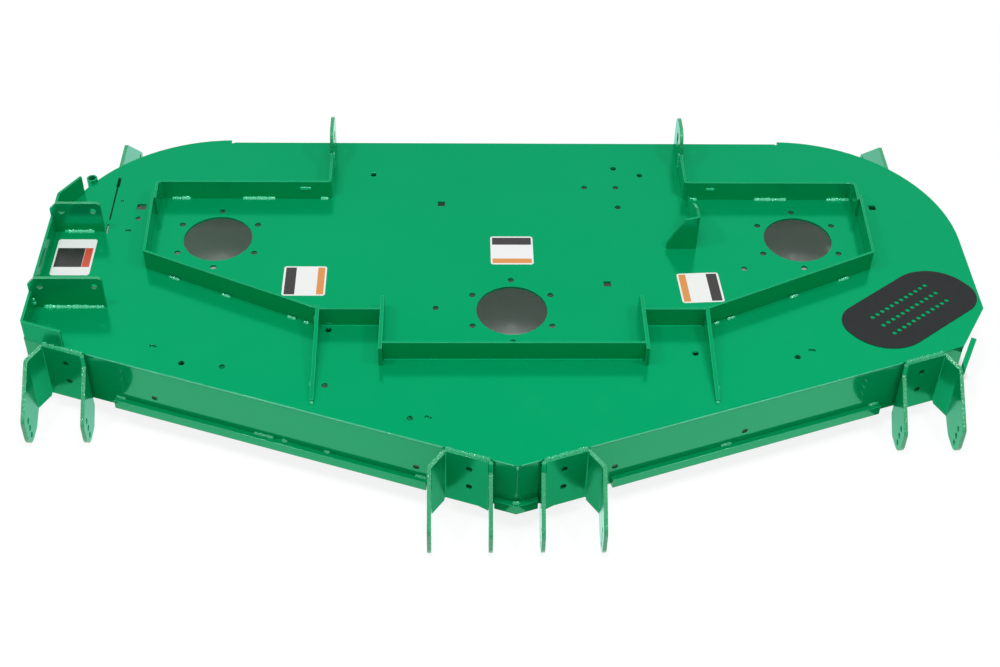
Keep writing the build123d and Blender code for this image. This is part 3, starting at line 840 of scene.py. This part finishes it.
def cut_sheet(name, loops, thickness, rim, place, angle, finish):
    drawing = bpy.data.curves.new(name + "_outline", "CURVE")
    drawing.dimensions = "2D"
    drawing.fill_mode = "BOTH"
    drawing.extrude = (thickness / 2 - rim) * MM
    drawing.bevel_depth = rim * MM
    drawing.bevel_resolution = 1
    drawing.offset = -rim * MM
    for loop in loops:
        line = drawing.splines.new("POLY")
        line.points.add(len(loop) - 1)
        for point, (x, y) in zip(line.points, loop):
            point.co = (x * MM, y * MM, 0, 1)
        line.use_cyclic_u = True
    pattern = bpy.data.objects.new(name + "_outline", drawing)
    mesh = bpy.data.meshes.new_from_object(pattern)
    bpy.data.objects.remove(pattern)
    mesh.name = name
    mesh.materials.clear()
    mesh.materials.append(finish)
    sheet = bpy.data.objects.new(name, mesh)
    sheet.location = Vector((*place, thickness / 2 + SHEET_LIFT)) * MM
    sheet.rotation_euler.z = radians(angle)
    bpy.context.scene.collection.objects.link(sheet)
    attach(sheet, "root")
    print(name, "faces:", len(mesh.polygons))
    return sheet


print("sheet cutter ready")

# %% [markdown]
# ## Grip pad
#
# Beside the right spindle a dark pad gives a boot some grip. It is matt, with a grain like fine
# sandpaper. Three rows of round holes let the green plate show through.

# %% Group: fine grain
GRAIN_RANGE = (0.4, 0.65)

group, given, result = new_group(
    "FineGrain", [("Grain size", "Float", 0.001)], [("Height", "Float"), ("Mask", "Float")]
)
grain = speckle(group, spot_on_piece(group), given["Grain size"], detail=3.0)
group.links.new(grain, result["Height"])
group.links.new(ramp(group, grain, *GRAIN_RANGE), result["Mask"])
print("group:", group.name)

# %% Pad rubber
RUBBER_BLACK = (0.024, 0.027, 0.027, 1)
WORN_BLACK = (0.034, 0.037, 0.037, 1)
RUBBER_ROUGHNESS, WORN_ROUGHNESS = 0.6, 0.12
RUBBER_INDEX = 1.2
GRAIN_SIZE, GRAIN_DEPTH = 0.0012, 0.00015

grip, tree, rubber = new_material("grip_rubber")
drift_look = {"Color": RUBBER_BLACK, "Spread": 0.05, "Patch size": 0.05}
drift = use_group(tree, "ToneDrift", drift_look)
grain = use_group(tree, "FineGrain", {"Grain size": GRAIN_SIZE})
bump_look = {"Strength": 1.0, "Distance": GRAIN_DEPTH, "Height": grain["Height"]}
bump = add(tree, "ShaderNodeBump", bump_look).outputs[0]
rough = maths(tree, "MULTIPLY_ADD", grain["Mask"], WORN_ROUGHNESS, RUBBER_ROUGHNESS)
worn = tint(tree, grain["Mask"], drift["Color"], WORN_BLACK)
tree.links.new(worn, rubber["Base Color"])
tree.links.new(rough, rubber["Roughness"])
tree.links.new(bump, rubber["Normal"])
rubber["IOR"].default_value = RUBBER_INDEX
print("finish:", grip.name)

# %% Grip pad
PAD_WIDTH, PAD_HEIGHT, PAD_ROUNDS = 250, 128, (76, 44, 76, 44)
PAD_THICKNESS, PAD_RIM = 1.3, 0.3
PAD_PLACE, PAD_ANGLE = (669.5, 3.5), 37.5
HOLE_ROWS, HOLES_IN_ROW = (-24, 0, 24), 12
FIRST_HOLE, HOLE_STEP, HOLE_RADIUS = -66, 12, 4

spots = [(FIRST_HOLE + HOLE_STEP * i, row) for row in HOLE_ROWS for i in range(HOLES_IN_ROW)]
holes = [disc_outline(x, y, HOLE_RADIUS) for x, y in spots]
pad_loops = [rounded_outline(PAD_WIDTH, PAD_HEIGHT, PAD_ROUNDS)] + holes
pad = cut_sheet(
    "grip_pad", pad_loops, PAD_THICKNESS, PAD_RIM, PAD_PLACE, PAD_ANGLE, grip
)
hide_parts("foot_pad")

# %% [markdown]
# ## Printed films
#
# Four white films are stuck to the plate, each with plain bands of colour. One node group prints a
# rectangle of ink over what is below it, measured from the middle of the film, and a film uses it
# once per band. Doing it in the material keeps the film one clean sheet.

# %% Group: printed band
INK_EDGE = 0.0002

group, given, result = new_group(
    "PrintedBand",
    [
        ("Color", "Color", (1, 1, 1, 1)),
        ("Ink", "Color", (0, 0, 0, 1)),
        ("Middle", "Vector", (0, 0, 0)),
        ("Half size", "Vector", (0.01, 0.01, 1)),
    ],
    [("Color", "Color")],
)
from_middle = {0: spot_on_piece(group), 1: given["Middle"]}
apart = add(group, "ShaderNodeVectorMath", from_middle, operation="SUBTRACT").outputs[0]
apart = add(group, "ShaderNodeVectorMath", {0: apart}, operation="ABSOLUTE").outputs[0]
to_edge = {0: given["Half size"], 1: apart}
room = add(group, "ShaderNodeVectorMath", to_edge, operation="SUBTRACT").outputs[0]
room = add(group, "ShaderNodeSeparateXYZ", {0: room}).outputs
inside = maths(group, "MINIMUM", room["X"], room["Y"])
mask = ramp(group, inside, -INK_EDGE, INK_EDGE)
group.links.new(tint(group, mask, given["Color"], given["Ink"]), result["Color"])
print("group:", group.name)

# %% Film maker
FILM_WHITE = (0.86, 0.87, 0.86, 1)
FILM_ROUNDS = (5, 5, 5, 5)
FILM_THICKNESS, FILM_RIM = 0.2, 0.05
FILM_ROUGHNESS, GRAIN_ROUGHNESS = 0.24, 0.06


def film(name, width, height, place, angle, bands):
    material, tree, gloss = new_material(name + "_print")
    drift_look = {"Color": FILM_WHITE, "Spread": 0.01, "Patch size": 0.03}
    color = use_group(tree, "ToneDrift", drift_look)["Color"]
    for ink, x, y, half_x, half_y in bands:
        band = {
            "Color": color,
            "Ink": ink,
            "Middle": (x * MM, y * MM, 0),
            "Half size": (half_x * MM, half_y * MM, 1),
        }
        color = use_group(tree, "PrintedBand", band)["Color"]
    grain = use_group(tree, "FineGrain", {"Grain size": 0.002})
    rough = maths(tree, "MULTIPLY_ADD", grain["Mask"], GRAIN_ROUGHNESS, FILM_ROUGHNESS)
    tree.links.new(color, gloss["Base Color"])
    tree.links.new(rough, gloss["Roughness"])
    outline = rounded_outline(width, height, FILM_ROUNDS)
    cut_sheet(name, [outline], FILM_THICKNESS, FILM_RIM, place, angle, material)


print("film maker ready")

# %% Films
ORANGE_INK = (0.72, 0.29, 0.07, 1)
RED_INK = (0.62, 0.075, 0.04, 1)
DARK_INK = (0.02, 0.018, 0.018, 1)

# A band is its ink, its middle on the film, and half its width and height, in millimetres
centre_bands = [(DARK_INK, 0, 24.5, 34, 9.5), (ORANGE_INK, 0, -28, 34, 6)]
left_bands = [(DARK_INK, -24, 0, 9, 34.5), (ORANGE_INK, 27.5, 0, 6, 34.5)]
right_bands = [(ORANGE_INK, -27, 0, 6, 34.5), (DARK_INK, 23.5, 0, 9, 34.5)]
chute_bands = [(DARK_INK, -7, -1, 23.5, 25), (RED_INK, 23.5, -1, 6.5, 25)]
film("film_centre", width=74, height=75, place=(3.7, 154), angle=0, bands=centre_bands)
film("film_left", width=73, height=75, place=(-350, 73), angle=0, bands=left_bands)
film("film_right", width=72, height=75, place=(322, 57), angle=3, bands=right_bands)
film("film_chute", width=67, height=95, place=(-749, 134), angle=0, bands=chute_bands)
